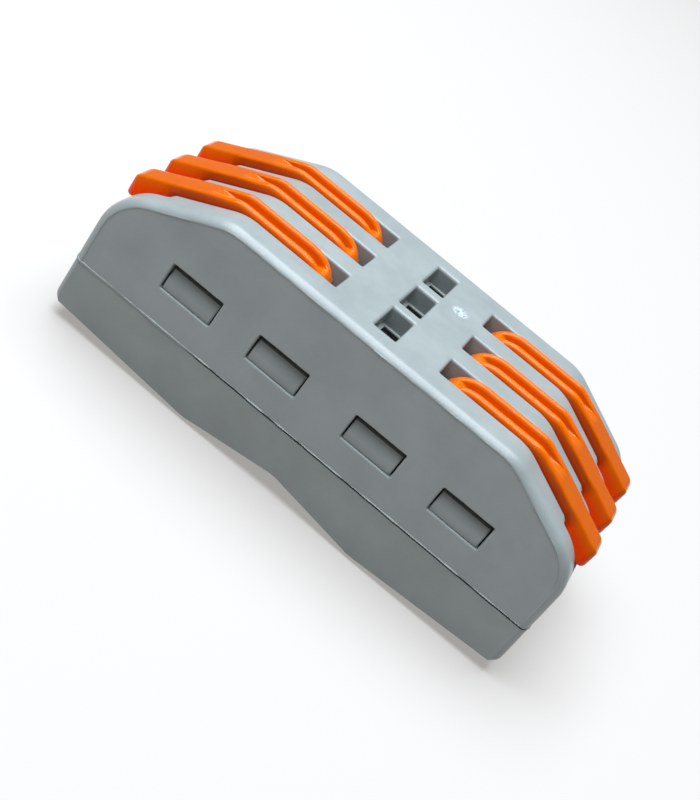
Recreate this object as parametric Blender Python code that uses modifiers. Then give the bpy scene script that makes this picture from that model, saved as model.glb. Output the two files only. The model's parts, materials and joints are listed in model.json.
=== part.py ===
"""Inline three-pole lever connector: three wires in, three wires out.

X runs along the wires, Y across the poles and Z up, with the origin at the middle of the
bottom. Every length is in metres. The right-hand end (+X) is drawn, and the left-hand end
is the same geometry turned half a turn about Z or mirrored.
"""
import math

import bmesh
import bpy
from mathutils import Matrix, Vector

MM = 0.001

# Outer body
HALF_LENGTH = 19.55 * MM
HALF_WIDTH = 9.25 * MM
TOP_Z = 13.95 * MM
SEAM_Z = 4.55 * MM
SEAM_GAP = 0.12 * MM
SHOULDER_X = 12.0 * MM
SHOULDER_ANGLE = math.radians(25.7)
END_CORNER_R = 4.0 * MM
SIDE_FILLET = 0.75 * MM

# Underside of the cover
RIDGE_X = 7.55 * MM
RIDGE_FLAT = 1.0 * MM
NOTCH_Z = 1.02 * MM
HEEL_Z = 0.75 * MM
HEEL_R = 0.7 * MM

# Poles
PITCH = 5.1 * MM
POLE_YS = (-PITCH, 0.0, PITCH)
POLE_NAMES = ("front", "middle", "rear")
END_NAMES = ("left", "right")

# Lever
PIVOT_X = 7.75 * MM
PIVOT_Z = 11.75 * MM
LEVER_WIDTH = 2.5 * MM
LEVER_TIP_WIDTH = 3.8 * MM
HUB_TOP_R = 2.4 * MM
OPEN_ANGLE = 95.0
CAM_GAP = 0.13 * MM
CAM_BASE_ANGLE = 270.0
ARM_BEND_X = 5.15 * MM
ARM_UNDER_Z = 0.7 * MM
ARM_THICKNESS = 1.5 * MM
ARM_TIP_X = 12.45 * MM
TIP_START_X = 9.4 * MM
TIP_CORNER_R = 0.4 * MM
ARM_BEND_R = 2.5 * MM
TRUNNION_R = 1.0 * MM
TRUNNION_LENGTH = 3.6 * MM
GROOVE_WIDTH = 1.2 * MM
GROOVE_DEPTH = 0.95 * MM
GROOVE_END_ANGLE = 155.0

# Clamp spring
SPRING_X = 4.5 * MM
SPRING_Z = 8.85 * MM
SPRING_THICKNESS = 0.35 * MM
SPRING_WIDTH = 3.6 * MM
CURL_R = 0.5 * MM
CURL_START_ANGLE = 250.0
SPRING_KNEE_X = 8.9 * MM
SPRING_TOP_X = 13.35 * MM
SPRING_TOP_Z = 11.4 * MM
SPRING_FRONT_X = 14.0 * MM
SPRING_FOOT_Z = 6.3 * MM
SPRING_BEND_R = 0.5 * MM
SPRING_RATIO = 0.15
CAGE_WIDTH = 2.9 * MM
CAGE_BOTTOM = 7.1 * MM
CAGE_TOP = 10.6 * MM
PEG_R = 0.24 * MM

# Current bar
BAR_BOTTOM = 7.3 * MM
BAR_THICKNESS = 0.7 * MM
BAR_HALF_LENGTH = 14.7 * MM
BAR_WIDTH = 3.4 * MM
BAR_TONGUE_WIDTH = 2.6 * MM
BAR_TONGUE_X = 12.9 * MM

# Spaces in the housing
SLOT_WIDTH = 2.72 * MM
SLOT_INNER_X = 4.45 * MM
SLOT_CLEARANCE = 0.25 * MM
TIP_SLOT_WIDTH = 4.1 * MM
TIP_SLOT_X = 16.9 * MM
POCKET_WIDTH = 3.9 * MM
POCKET_INNER_X = 3.6 * MM
POCKET_OUTER_X = 14.9 * MM
POCKET_CEILING = 12.2 * MM
POCKET_END_CEILING = 11.6 * MM
BEARING_R = 1.1 * MM
MOUTH_WIDTH = 4.2 * MM
MOUTH_TOP = 8.65 * MM
MOUTH_INNER_X = 15.45 * MM
THROAT_WIDTH = 3.0 * MM
THROAT_TOP = 7.6 * MM
BAR_CHANNEL_WIDTH = 3.6 * MM
BAR_CHANNEL_TOP = 8.1 * MM
WELL_HALF_X = 0.95 * MM
WELL_HALF_Y = 1.94 * MM
WELL_FLOOR = 12.5 * MM
PROBE_LOW_X = -0.6 * MM
PROBE_HIGH_X = 0.9 * MM
PROBE_HALF_Y = 1.75 * MM

# Snap arms of the cover and the windows they catch in
WINDOW_XS = (4.14 * MM, 11.57 * MM)
WINDOW_WIDTH = 4.36 * MM
WINDOW_BOTTOM = 6.9 * MM
WINDOW_TOP = 9.0 * MM
CHANNEL_INNER_Y = 7.4 * MM
CHANNEL_OUTER_Y = 8.45 * MM
CHANNEL_TOP = 9.4 * MM
ARM_WIDTH = 4.0 * MM
SNAP_ARM_INNER_Y = 7.55 * MM
SNAP_ARM_OUTER_Y = 8.3 * MM
SNAP_ARM_TOP = 9.15 * MM
LUG_OUTER_Y = 8.75 * MM
LUG_BOTTOM = 7.0 * MM
LUG_SHOULDER = 7.9 * MM
LUG_TOP = 8.85 * MM

# Hollows and ribs of the cover
RECESS_INNER_X = 4.0 * MM
RECESS_OUTER_X = 14.6 * MM
RECESS_FLOOR = 2.2 * MM
RIB_HALF_X = 3.2 * MM
RIB_WIDTH = 3.2 * MM
RIB_GAP = 0.12 * MM

ARC_STEP = 15.0
MERGE = 0.000001
OVERSHOOT = 1.0 * MM

PLASTIC_GREY = (0.23, 0.25, 0.25, 1.0)
PLASTIC_ORANGE = (0.87, 0.19, 0.012, 1.0)
SPRING_STEEL = (0.62, 0.61, 0.58, 1.0)
TINNED_COPPER = (0.78, 0.76, 0.72, 1.0)


def clear_scene():
    for scene_object in list(bpy.data.objects):
        bpy.data.objects.remove(scene_object, do_unlink=True)


def new_collection(name):
    collection = bpy.data.collections.new(name)
    bpy.context.scene.collection.children.link(collection)
    return collection


def new_material(name, colour, roughness, metallic):
    material = bpy.data.materials.new(name)
    material.use_nodes = True
    shader = material.node_tree.nodes["Principled BSDF"]
    shader.inputs["Base Color"].default_value = colour
    shader.inputs["Roughness"].default_value = roughness
    shader.inputs["Metallic"].default_value = metallic
    return material


def polar(radius, degrees):
    angle = math.radians(degrees)
    return (radius * math.cos(angle), radius * math.sin(angle))


def corner_arc(before, corner, after, radius):
    """Points of the arc that rounds one corner of an outline."""
    corner = Vector(corner)
    towards_before = (Vector(before) - corner).normalized()
    towards_after = (Vector(after) - corner).normalized()
    opening = towards_before.angle(towards_after)
    tangent = radius / math.tan(opening / 2)
    start = corner + towards_before * tangent
    centre_way = (towards_before + towards_after).normalized()
    centre = corner + centre_way * radius / math.sin(opening / 2)
    turn = math.pi - opening
    steps = max(2, round(math.degrees(turn) / ARC_STEP))
    sign = 1 if towards_before.cross(towards_after) < 0 else -1
    spoke = start - centre
    points = []
    for index in range(steps + 1):
        rotation = Matrix.Rotation(sign * turn * index / steps, 2)
        points.append(tuple(centre + rotation @ spoke))
    return points


def rounded(points, closed=True):
    """Replace each (x, z, radius) corner by its arc, and keep each plain (x, z) point."""
    result = []
    count = len(points)
    for index, point in enumerate(points):
        at_end = not closed and index in (0, count - 1)
        if len(point) == 2 or at_end:
            result.append(tuple(point[:2]))
            continue
        before = points[index - 1][:2]
        after = points[(index + 1) % count][:2]
        result.extend(corner_arc(before, point[:2], after, point[2]))
    return result


def curve_to_mesh(curve_object, collection):
    """Turn a filled curve into a mesh object with welded caps."""
    bpy.context.view_layer.update()
    evaluated = curve_object.evaluated_get(bpy.context.evaluated_depsgraph_get())
    mesh = bpy.data.meshes.new_from_object(evaluated)
    name = curve_object.name
    placement = curve_object.matrix_world.copy()
    bpy.data.objects.remove(curve_object, do_unlink=True)
    mesh_object = bpy.data.objects.new(name, mesh)
    mesh_object.matrix_world = placement
    collection.objects.link(mesh_object)
    shape = bmesh.new()
    shape.from_mesh(mesh)
    bmesh.ops.remove_doubles(shape, verts=shape.verts, dist=MERGE)
    bmesh.ops.transform(shape, matrix=mesh_object.matrix_world, verts=shape.verts)
    bmesh.ops.recalc_face_normals(shape, faces=shape.faces)
    shape.to_mesh(mesh)
    shape.free()
    mesh_object.matrix_world = Matrix.Identity(4)
    return mesh_object


def extruded(name, outline, width, collection):
    """A flat XZ outline, extruded by width across Y and centred on y = 0."""
    curve = bpy.data.curves.new(name, "CURVE")
    curve.dimensions = "2D"
    curve.fill_mode = "BOTH"
    curve.extrude = width / 2
    spline = curve.splines.new("POLY")
    spline.points.add(len(outline) - 1)
    for spline_point, (x, z) in zip(spline.points, outline):
        spline_point.co = (x, z, 0.0, 1.0)
    spline.use_cyclic_u = True
    curve_object = bpy.data.objects.new(name, curve)
    curve_object.rotation_euler = (math.pi / 2, 0.0, 0.0)
    bpy.context.scene.collection.objects.link(curve_object)
    return curve_to_mesh(curve_object, collection)


def move_to(collection, new_object):
    for holder in list(new_object.users_collection):
        holder.objects.unlink(new_object)
    collection.objects.link(new_object)


def box(name, low, high, collection):
    """A box between two corners, with its scale applied."""
    bpy.ops.mesh.primitive_cube_add(size=1.0)
    cube = bpy.context.object
    cube.name = name
    size = Vector(high) - Vector(low)
    centre = (Vector(high) + Vector(low)) / 2
    cube.data.transform(Matrix.Translation(centre) @ Matrix.Diagonal((*size, 1.0)))
    move_to(collection, cube)
    return cube


def cross_cylinder(name, radius, length, x, z, sides, collection):
    """A cylinder along Y."""
    bpy.ops.mesh.primitive_cylinder_add(radius=radius, depth=length, vertices=sides)
    cylinder = bpy.context.object
    cylinder.name = name
    turn = Matrix.Rotation(math.pi / 2, 4, "X")
    cylinder.data.transform(Matrix.Translation((x, 0.0, z)) @ turn)
    move_to(collection, cylinder)
    return cylinder


def repeat(pattern, placements):
    """Rebuild an object's mesh as one separate copy at each placement."""
    shape = bmesh.new()
    for placement in placements:
        copy = pattern.data.copy()
        copy.transform(placement)
        if placement.determinant() < 0:
            copy.flip_normals()
        shape.from_mesh(copy)
        bpy.data.meshes.remove(copy)
    shape.to_mesh(pattern.data)
    shape.free()
    return pattern


def at_poles(mirrored):
    """Placements at the three poles, for both ends if mirrored is true."""
    scales = (1, -1) if mirrored else (1,)
    return [
        Matrix.Translation((0.0, pole_y, 0.0)) @ Matrix.Diagonal((scale, 1, 1, 1))
        for scale in scales
        for pole_y in POLE_YS
    ]


def at_windows():
    """Placements at the eight snap windows, from a pattern at x = 0 on the +Y side."""
    return [
        Matrix.Translation((x_sign * window_x, 0.0, 0.0)) @ Matrix.Diagonal((1, y_sign, 1, 1))
        for window_x in WINDOW_XS
        for x_sign in (1, -1)
        for y_sign in (1, -1)
    ]


def boolean(target, tool, operation):
    modifier = target.modifiers.new(f"{operation.lower()}_{tool.name}", "BOOLEAN")
    modifier.operation = operation
    modifier.solver = "EXACT"
    modifier.object = tool
    tool.hide_render = True
    tool.display_type = "WIRE"


def bake(target):
    """Apply an object's modifiers, so that its mesh can be shared by its copies."""
    bpy.context.view_layer.update()
    evaluated = target.evaluated_get(bpy.context.evaluated_depsgraph_get())
    mesh = bpy.data.meshes.new_from_object(evaluated)
    mesh.name = target.name
    target.modifiers.clear()
    target.data = mesh


def bevel_side_edges(target, width, segments, keep_z):
    """Round the long edges where the outline meets the two side faces."""
    shape = bmesh.new()
    shape.from_mesh(target.data)
    edges = []
    for edge in shape.edges:
        on_side = all(abs(abs(vert.co.y) - HALF_WIDTH) < MERGE for vert in edge.verts)
        is_rim = len({round(face.normal.y) for face in edge.link_faces}) > 1
        on_seam = all(abs(vert.co.z - keep_z) < MERGE for vert in edge.verts)
        if on_side and is_rim and not on_seam:
            edges.append(edge)
    bmesh.ops.bevel(
        shape, geom=edges, offset=width, segments=segments, profile=0.5, affect="EDGES"
    )
    shape.to_mesh(target.data)
    shape.free()


def finish(part, material):
    part.data.materials.clear()
    part.data.materials.append(material)
    part.data.shade_smooth()
    part.data.set_sharp_from_angle(angle=math.radians(30))


def shoulder_z(x):
    return TOP_Z - (x - SHOULDER_X) * math.tan(SHOULDER_ANGLE)


def lever_top_z(x):
    """Height of the lever's sloping top above its pivot."""
    return HUB_TOP_R - (x - ARM_BEND_X) * math.tan(SHOULDER_ANGLE)


def slot_floor_z(x):
    """Floor of the lever slot, just under the closed lever's arm."""
    under = lever_top_z(x - PIVOT_X) - ARM_THICKNESS / math.cos(SHOULDER_ANGLE)
    return PIVOT_Z + under - SLOT_CLEARANCE


def mirrored_outline(right_half):
    """Close an outline whose right half runs from the top down to the bottom."""
    left_half = [(-point[0], *point[1:]) for point in reversed(right_half)]
    return rounded(right_half + left_half)


def housing_blank(parts):
    right_half = [
        (SHOULDER_X, TOP_Z, 4.0 * MM),
        (HALF_LENGTH, shoulder_z(HALF_LENGTH), END_CORNER_R),
        (HALF_LENGTH, SEAM_Z),
    ]
    blank = extruded("housing", mirrored_outline(right_half), 2 * HALF_WIDTH, parts)
    bevel_side_edges(blank, SIDE_FILLET, 3, SEAM_Z)
    return blank


def cut_pockets(housing, cutters):
    """Room for the levers, springs and bars."""
    pocket_outline = rounded([
        (POCKET_INNER_X, SEAM_Z - OVERSHOOT),
        (POCKET_OUTER_X, SEAM_Z - OVERSHOOT),
        (POCKET_OUTER_X, POCKET_END_CEILING),
        (POCKET_OUTER_X - 2.0 * MM, POCKET_CEILING),
        (POCKET_INNER_X, POCKET_CEILING, 1.0 * MM),
    ])
    pocket = extruded("pocket_cutter", pocket_outline, POCKET_WIDTH, cutters)
    repeat(pocket, at_poles(True))
    boolean(housing, pocket, "DIFFERENCE")
    bearing = cross_cylinder(
        "bearing_cutter", BEARING_R, POCKET_WIDTH - 0.02 * MM, PIVOT_X, PIVOT_Z, 24, cutters
    )
    repeat(bearing, at_poles(True))
    boolean(housing, bearing, "DIFFERENCE")
    channel = box(
        "bar_channel_cutter",
        (-POCKET_INNER_X - 0.1 * MM, -BAR_CHANNEL_WIDTH / 2, SEAM_Z - OVERSHOOT),
        (POCKET_INNER_X + 0.1 * MM, BAR_CHANNEL_WIDTH / 2, BAR_CHANNEL_TOP),
        cutters,
    )
    repeat(channel, at_poles(False))
    boolean(housing, channel, "DIFFERENCE")


def cut_lever_slots(housing, cutters):
    above = TOP_Z + OVERSHOOT
    outer_x = HALF_LENGTH + OVERSHOOT
    shelf_x = POCKET_OUTER_X - 0.2 * MM
    in_pocket = POCKET_END_CEILING - 0.2 * MM
    slot_outline = [
        (SLOT_INNER_X, in_pocket),
        (shelf_x, in_pocket),
        (shelf_x, slot_floor_z(shelf_x)),
        (outer_x, slot_floor_z(outer_x)),
        (outer_x, above),
        (SLOT_INNER_X, above),
    ]
    slot = extruded("lever_slot_cutter", slot_outline, SLOT_WIDTH, cutters)
    repeat(slot, at_poles(True))
    boolean(housing, slot, "DIFFERENCE")
    tip_outline = [
        (TIP_SLOT_X, slot_floor_z(TIP_SLOT_X)),
        (outer_x, slot_floor_z(outer_x)),
        (outer_x, above),
        (TIP_SLOT_X, above),
    ]
    tip_slot = extruded("lever_tip_cutter", tip_outline, TIP_SLOT_WIDTH, cutters)
    repeat(tip_slot, at_poles(True))
    boolean(housing, tip_slot, "DIFFERENCE")


def cut_wire_mouths(housing, cutters):
    mouth = box(
        "mouth_cutter",
        (MOUTH_INNER_X, -MOUTH_WIDTH / 2, SEAM_Z - OVERSHOOT),
        (HALF_LENGTH + OVERSHOOT, MOUTH_WIDTH / 2, MOUTH_TOP),
        cutters,
    )
    repeat(mouth, at_poles(True))
    boolean(housing, mouth, "DIFFERENCE")
    throat = box(
        "throat_cutter",
        (POCKET_OUTER_X - 0.3 * MM, -MOUTH_WIDTH / 2, SEAM_Z - OVERSHOOT),
        (MOUTH_INNER_X + 0.1 * MM, MOUTH_WIDTH / 2, MOUTH_TOP),
        cutters,
    )
    for vert in throat.data.vertices:
        if vert.co.x < POCKET_OUTER_X:
            vert.co.y *= THROAT_WIDTH / MOUTH_WIDTH
            vert.co.z = min(vert.co.z, THROAT_TOP)
    repeat(throat, at_poles(True))
    boolean(housing, throat, "DIFFERENCE")


def cut_test_wells(housing, cutters):
    well = box(
        "test_well_cutter",
        (-WELL_HALF_X, -WELL_HALF_Y, WELL_FLOOR),
        (WELL_HALF_X, WELL_HALF_Y, TOP_Z + OVERSHOOT),
        cutters,
    )
    repeat(well, at_poles(False))
    boolean(housing, well, "DIFFERENCE")
    probe = box(
        "probe_hole_cutter",
        (PROBE_LOW_X, -PROBE_HALF_Y, BAR_CHANNEL_TOP - 0.5 * MM),
        (PROBE_HIGH_X, PROBE_HALF_Y, WELL_FLOOR + 0.5 * MM),
        cutters,
    )
    repeat(probe, at_poles(False))
    boolean(housing, probe, "DIFFERENCE")


def cut_snap_windows(housing, cutters):
    channel = box(
        "snap_channel_cutter",
        (-WINDOW_WIDTH / 2, CHANNEL_INNER_Y, SEAM_Z - OVERSHOOT),
        (WINDOW_WIDTH / 2, CHANNEL_OUTER_Y, CHANNEL_TOP),
        cutters,
    )
    repeat(channel, at_windows())
    boolean(housing, channel, "DIFFERENCE")
    window = box(
        "snap_window_cutter",
        (-WINDOW_WIDTH / 2, CHANNEL_OUTER_Y - 0.3 * MM, WINDOW_BOTTOM),
        (WINDOW_WIDTH / 2, HALF_WIDTH + OVERSHOOT, WINDOW_TOP),
        cutters,
    )
    repeat(window, at_windows())
    boolean(housing, window, "DIFFERENCE")


def add_spring_pegs(housing, cutters):
    length = 2 * (PITCH + POCKET_WIDTH / 2) + 0.4 * MM
    peg = cross_cylinder("spring_peg_tool", PEG_R, length, SPRING_X, SPRING_Z, 12, cutters)
    repeat(peg, [Matrix.Identity(4), Matrix.Diagonal((-1, 1, 1, 1))])
    boolean(housing, peg, "UNION")


def build_housing(parts, cutters, material):
    housing = housing_blank(parts)
    cut_pockets(housing, cutters)
    cut_lever_slots(housing, cutters)
    cut_wire_mouths(housing, cutters)
    cut_test_wells(housing, cutters)
    cut_snap_windows(housing, cutters)
    add_spring_pegs(housing, cutters)
    finish(housing, material)


def cover_blank(parts):
    top = SEAM_Z - SEAM_GAP
    right_half = [
        (HALF_LENGTH, top),
        (HALF_LENGTH, HEEL_Z, HEEL_R),
        (RIDGE_X + RIDGE_FLAT / 2, 0.0),
        (RIDGE_X - RIDGE_FLAT / 2, 0.0),
    ]
    left_half = [(-point[0], *point[1:]) for point in reversed(right_half)]
    notch = [(0.0, NOTCH_Z, 1.0 * MM)]
    outline = rounded(right_half + notch + left_half)
    return extruded("base_cover", outline, 2 * HALF_WIDTH, parts)


def add_snap_arms(cover, cutters):
    arm = box(
        "snap_arm_tool",
        (-ARM_WIDTH / 2, SNAP_ARM_INNER_Y, SEAM_Z - OVERSHOOT),
        (ARM_WIDTH / 2, SNAP_ARM_OUTER_Y, SNAP_ARM_TOP),
        cutters,
    )
    lug = box(
        "snap_lug_tool",
        (-ARM_WIDTH / 2, SNAP_ARM_OUTER_Y - 0.3 * MM, LUG_BOTTOM),
        (ARM_WIDTH / 2, LUG_OUTER_Y, LUG_TOP),
        cutters,
    )
    for vert in lug.data.vertices:
        if vert.co.y > SNAP_ARM_OUTER_Y and vert.co.z > LUG_SHOULDER:
            vert.co.z = LUG_SHOULDER
    repeat(arm, at_windows())
    repeat(lug, at_windows())
    boolean(cover, arm, "UNION")
    boolean(cover, lug, "UNION")


def build_cover(parts, cutters, material):
    cover = cover_blank(parts)
    recess = box(
        "recess_cutter",
        (RECESS_INNER_X, -POCKET_WIDTH / 2, RECESS_FLOOR),
        (RECESS_OUTER_X, POCKET_WIDTH / 2, SEAM_Z + OVERSHOOT),
        cutters,
    )
    repeat(recess, at_poles(True))
    boolean(cover, recess, "DIFFERENCE")
    rib = box(
        "bar_rib_tool",
        (-RIB_HALF_X, -RIB_WIDTH / 2, SEAM_Z - OVERSHOOT),
        (RIB_HALF_X, RIB_WIDTH / 2, BAR_BOTTOM - RIB_GAP),
        cutters,
    )
    repeat(rib, at_poles(False))
    boolean(cover, rib, "UNION")
    add_snap_arms(cover, cutters)
    finish(cover, material)


def cam_radius(lever_angle):
    """Reach of the cam that just clears the spring's flat top at one opening of the lever."""
    press = math.radians(lever_angle * SPRING_RATIO)
    across = PIVOT_X - SPRING_X
    up = PIVOT_Z - SPRING_Z
    to_flat = CURL_R + SPRING_THICKNESS / 2
    return across * math.sin(press) + up * math.cos(press) - to_flat - CAM_GAP


def hub_radius(degrees):
    """Radius of the lever's hub: a nose that bulges inwards and runs into the cam below it.

    At each opening of the lever, the cam point that faces the spring is the one at
    CAM_BASE_ANGLE less the lever's turn and the spring's.
    """
    cam_end = CAM_BASE_ANGLE - OPEN_ANGLE * (1.0 + SPRING_RATIO)
    if degrees <= 90.0:
        return HUB_TOP_R
    if degrees <= cam_end:
        share = (degrees - 90.0) / (cam_end - 90.0)
        eased = share * share * (3.0 - 2.0 * share)
        return HUB_TOP_R + eased * (cam_radius(OPEN_ANGLE) - HUB_TOP_R)
    lever_angle = max(0.0, CAM_BASE_ANGLE - degrees) / (1.0 + SPRING_RATIO)
    return cam_radius(lever_angle)


def lever_outline():
    """Side outline of the closed lever, about its pivot."""
    hub_end = 360.0 + math.degrees(math.asin(ARM_UNDER_Z / cam_radius(0.0)))
    steps = round((hub_end - 90.0) / ARC_STEP)
    outline = []
    for index in range(steps + 1):
        degrees = 90.0 + (hub_end - 90.0) * index / steps
        outline.append(polar(hub_radius(degrees), degrees))
    drop = ARM_THICKNESS / math.cos(SHOULDER_ANGLE)
    under_bend_x = ARM_BEND_X + (HUB_TOP_R - drop - ARM_UNDER_Z) / math.tan(SHOULDER_ANGLE)
    tip_top = (ARM_TIP_X, lever_top_z(ARM_TIP_X))
    tip_under = (
        tip_top[0] - ARM_THICKNESS * math.sin(SHOULDER_ANGLE),
        tip_top[1] - ARM_THICKNESS * math.cos(SHOULDER_ANGLE),
    )
    outline.append((under_bend_x, ARM_UNDER_Z))
    outline.append((*tip_under, TIP_CORNER_R))
    outline.append((*tip_top, TIP_CORNER_R))
    outline.append((ARM_BEND_X, HUB_TOP_R, ARM_BEND_R))
    return rounded(outline)


def lever_tip(cutters):
    """The finger tab: wider than the arm at its foot, and as narrow on top."""
    drop = ARM_THICKNESS / math.cos(SHOULDER_ANGLE)
    end_x = ARM_TIP_X - 0.25 * MM
    sink = 0.08 * MM
    outline = [
        (TIP_START_X, lever_top_z(TIP_START_X) - drop + sink),
        (end_x - 0.6 * MM, lever_top_z(end_x - 0.6 * MM) - drop + sink),
        (end_x, lever_top_z(end_x) - sink),
        (TIP_START_X, lever_top_z(TIP_START_X) - sink),
    ]
    tip = extruded("lever_tip_tool", outline, LEVER_TIP_WIDTH, cutters)
    middle_drop = drop / 2
    for vert in tip.data.vertices:
        if vert.co.z > lever_top_z(vert.co.x) - middle_drop:
            vert.co.y *= (LEVER_WIDTH - 0.1 * MM) / LEVER_TIP_WIDTH
    return tip


def groove_cutter(cutters):
    """The finger groove: over the hub's nose, then level until it leaves the slope."""
    arc = []
    steps = 4
    for index in range(steps + 1):
        degrees = GROOVE_END_ANGLE + (90.0 - GROOVE_END_ANGLE) * index / steps
        arc.append(polar(hub_radius(degrees) - GROOVE_DEPTH, degrees))
    far = ARM_TIP_X
    floor = HUB_TOP_R - GROOVE_DEPTH
    above = HUB_TOP_R + OVERSHOOT
    nose = polar(HUB_TOP_R + OVERSHOOT, GROOVE_END_ANGLE)
    outline = arc + [(far, floor), (far, above), (nose[0], above), nose]
    return extruded("groove_cutter", outline, GROOVE_WIDTH, cutters)


def lever_pattern(parts, cutters):
    lever = extruded("lever_pattern", lever_outline(), LEVER_WIDTH, parts)
    boolean(lever, lever_tip(cutters), "UNION")
    trunnion = cross_cylinder(
        "trunnion_tool", TRUNNION_R, TRUNNION_LENGTH, 0.0, 0.0, 20, cutters
    )
    boolean(lever, trunnion, "UNION")
    boolean(lever, groove_cutter(cutters), "DIFFERENCE")
    bake(lever)
    return lever


def spring_path():
    """Middle line of the spring strip, about the peg that its curl turns on."""
    path = []
    steps = 11
    for index in range(steps):
        degrees = CURL_START_ANGLE + (90.0 - CURL_START_ANGLE) * index / (steps - 1)
        path.append(polar(CURL_R, degrees))
    knee = (SPRING_KNEE_X - SPRING_X, CURL_R, 1.5 * MM)
    crest = (SPRING_TOP_X - SPRING_X, SPRING_TOP_Z - SPRING_Z, SPRING_BEND_R)
    brow = (SPRING_FRONT_X - SPRING_X, SPRING_TOP_Z - SPRING_Z - 0.45 * MM, SPRING_BEND_R)
    foot = (SPRING_FRONT_X - SPRING_X, SPRING_FOOT_Z - SPRING_Z)
    return rounded(path + [knee, crest, brow, foot], closed=False)


def spring_pattern(parts, cutters):
    path = spring_path()
    shape = bmesh.new()
    verts = [shape.verts.new((x, -SPRING_WIDTH / 2, z)) for x, z in path]
    edges = [shape.edges.new(pair) for pair in zip(verts, verts[1:])]
    swept = bmesh.ops.extrude_edge_only(shape, edges=edges)
    swept_verts = [item for item in swept["geom"] if isinstance(item, bmesh.types.BMVert)]
    bmesh.ops.translate(shape, verts=swept_verts, vec=(0.0, SPRING_WIDTH, 0.0))
    mesh = bpy.data.meshes.new("spring_pattern")
    shape.to_mesh(mesh)
    shape.free()
    spring = bpy.data.objects.new("spring_pattern", mesh)
    parts.objects.link(spring)
    solidify = spring.modifiers.new("strip", "SOLIDIFY")
    solidify.thickness = SPRING_THICKNESS
    solidify.offset = 0.0
    solidify.use_even_offset = True
    cage = box(
        "cage_cutter",
        (SPRING_FRONT_X - SPRING_X - 0.4 * MM, -CAGE_WIDTH / 2, CAGE_BOTTOM - SPRING_Z),
        (SPRING_FRONT_X - SPRING_X + 0.4 * MM, CAGE_WIDTH / 2, CAGE_TOP - SPRING_Z),
        cutters,
    )
    boolean(spring, cage, "DIFFERENCE")
    bake(spring)
    return spring


def place_copies(pattern, prefix, x, z, parts, material):
    """One object for each end and pole, sharing the pattern's mesh, at its pivot."""
    finish(pattern, material)
    for end_sign, end_name in zip((-1, 1), END_NAMES):
        for pole_y, pole_name in zip(POLE_YS, POLE_NAMES):
            copy = bpy.data.objects.new(f"{prefix}_{end_name}_{pole_name}", pattern.data)
            copy.location = (end_sign * x, pole_y, z)
            copy.rotation_euler = (0.0, 0.0, 0.0 if end_sign > 0 else math.pi)
            parts.objects.link(copy)
    bpy.data.objects.remove(pattern, do_unlink=True)


def build_bars(parts, cutters, material):
    """Straight current bars with a narrow tongue at each end."""
    half = BAR_HALF_LENGTH
    bar = box(
        "bar_pattern",
        (-half, -BAR_WIDTH / 2, BAR_BOTTOM),
        (half, BAR_WIDTH / 2, BAR_BOTTOM + BAR_THICKNESS),
        parts,
    )
    side = box(
        "tongue_cutter",
        (BAR_TONGUE_X, BAR_TONGUE_WIDTH / 2, BAR_BOTTOM - OVERSHOOT),
        (half + OVERSHOOT, BAR_WIDTH, BAR_BOTTOM + BAR_THICKNESS + OVERSHOOT),
        cutters,
    )
    signs = ((1, 1), (1, -1), (-1, 1), (-1, -1))
    repeat(side, [Matrix.Diagonal((x_sign, y_sign, 1, 1)) for x_sign, y_sign in signs])
    boolean(bar, side, "DIFFERENCE")
    bake(bar)
    finish(bar, material)
    for pole_y, pole_name in zip(POLE_YS, POLE_NAMES):
        copy = bpy.data.objects.new(f"current_bar_{pole_name}", bar.data)
        copy.location = (0.0, pole_y, 0.0)
        parts.objects.link(copy)
    bpy.data.objects.remove(bar, do_unlink=True)


def main():
    clear_scene()
    parts = new_collection("lever_wire_connector")
    cutters = new_collection("cutters")
    housing_grey = new_material("housing_plastic", PLASTIC_GREY, 0.45, 0.0)
    cover_grey = new_material("cover_plastic", PLASTIC_GREY, 0.45, 0.0)
    orange = new_material("lever_plastic", PLASTIC_ORANGE, 0.3, 0.0)
    steel = new_material("spring_steel", SPRING_STEEL, 0.35, 1.0)
    copper = new_material("tinned_copper", TINNED_COPPER, 0.3, 1.0)
    build_housing(parts, cutters, housing_grey)
    build_cover(parts, cutters, cover_grey)
    lever = lever_pattern(parts, cutters)
    place_copies(lever, "lever", PIVOT_X, PIVOT_Z, parts, orange)
    spring = spring_pattern(parts, cutters)
    place_copies(spring, "clamp_spring", SPRING_X, SPRING_Z, parts, steel)
    build_bars(parts, cutters, copper)


main()
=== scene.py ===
"""Looks of the inline lever connector: moulded shells, levers, springs and bars.

The pieces are modelled in millimetres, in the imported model's frame (X along the wires,
Y across the poles, Z up), and scaled to metres when they are finished.
"""

import json
import math

import bmesh
import bpy
from mathutils import Matrix, Vector, noise


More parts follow.
